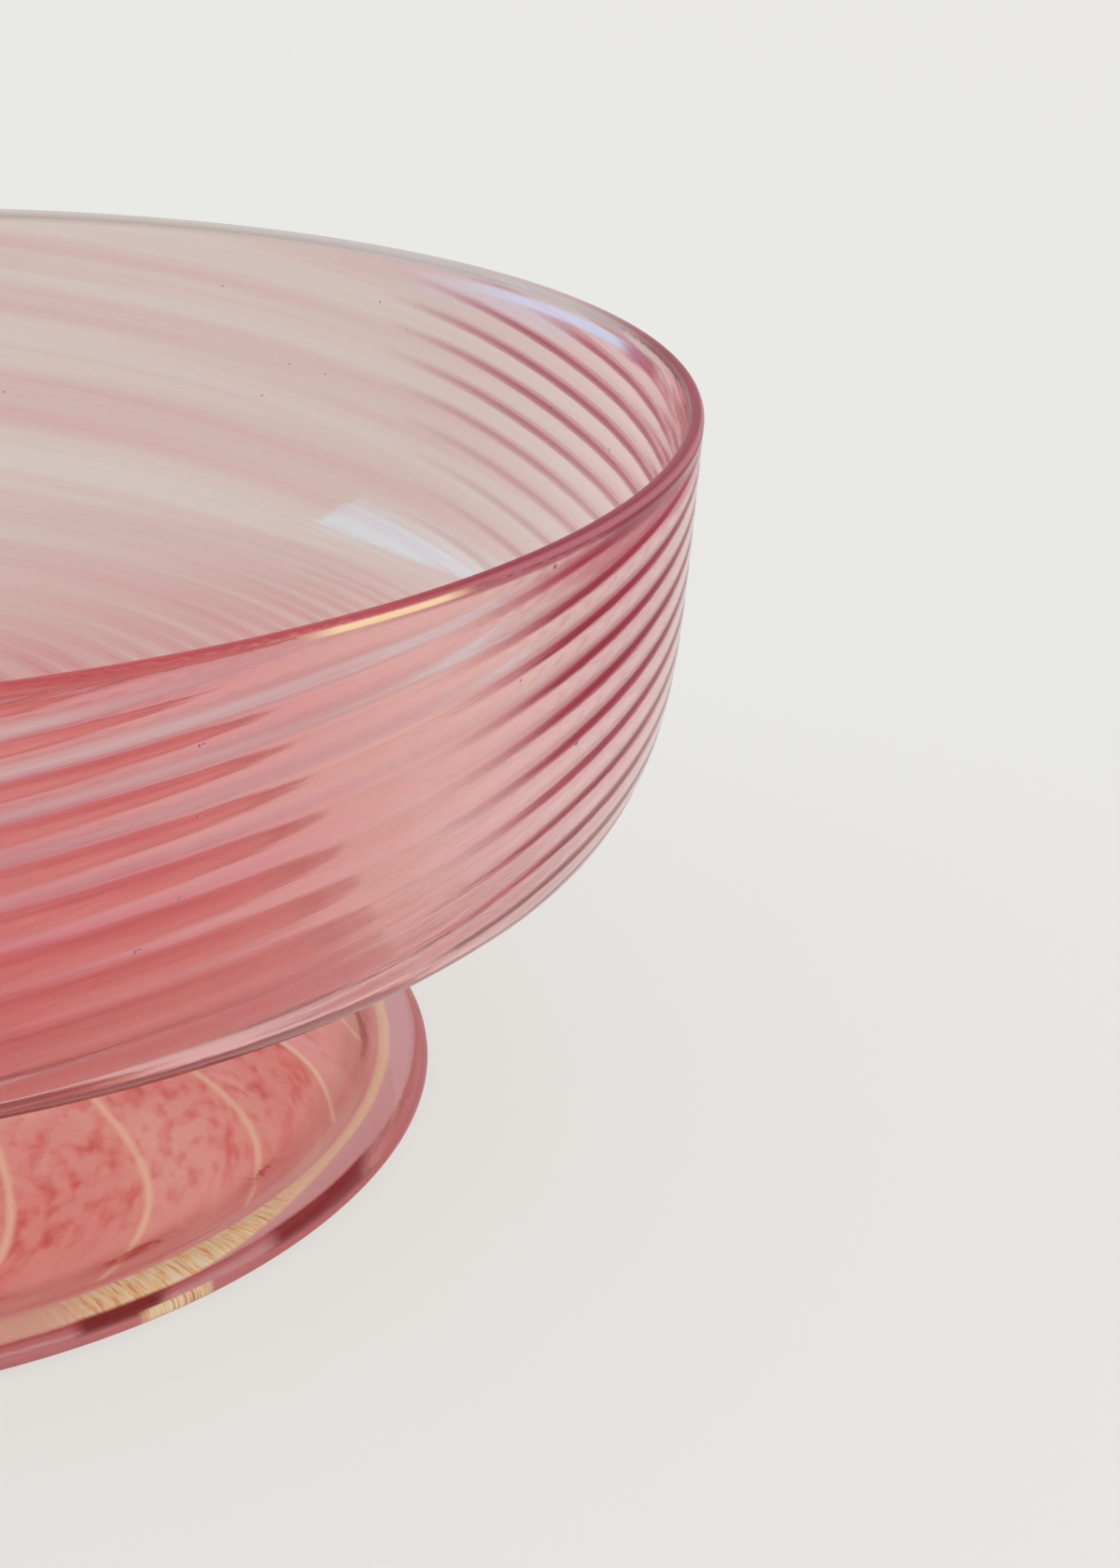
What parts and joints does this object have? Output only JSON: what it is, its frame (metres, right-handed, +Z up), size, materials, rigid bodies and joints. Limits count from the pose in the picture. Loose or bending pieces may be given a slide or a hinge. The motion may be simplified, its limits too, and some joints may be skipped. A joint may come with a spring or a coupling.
{
  "type": "footed glass bowl",
  "caption": "Wide shallow blown-glass bowl with swirled optic ribs, standing on a low hollow foot with a folded hem.",
  "frame": {"origin": "on the table, on the axis of the bowl, in the plane of the ground ring under the foot", "axes": "+Z up along the axis of the bowl; +X to the right of the pictured view, +Y away from it"},
  "size_m": [0.252, 0.252, 0.1004],
  "materials": {
    "foot_glass": "salmon pink glass with rose flecks and a faint gold lustre",
    "button_glass": "clear pink glass",
    "bowl_glass": "streaked rose pink glass with a faint iridescent lustre"
  },
  "bodies": {
    "root": {"foot": "foot_glass", "button": "button_glass", "bowl": "bowl_glass"}
  },
  "joints": []
}
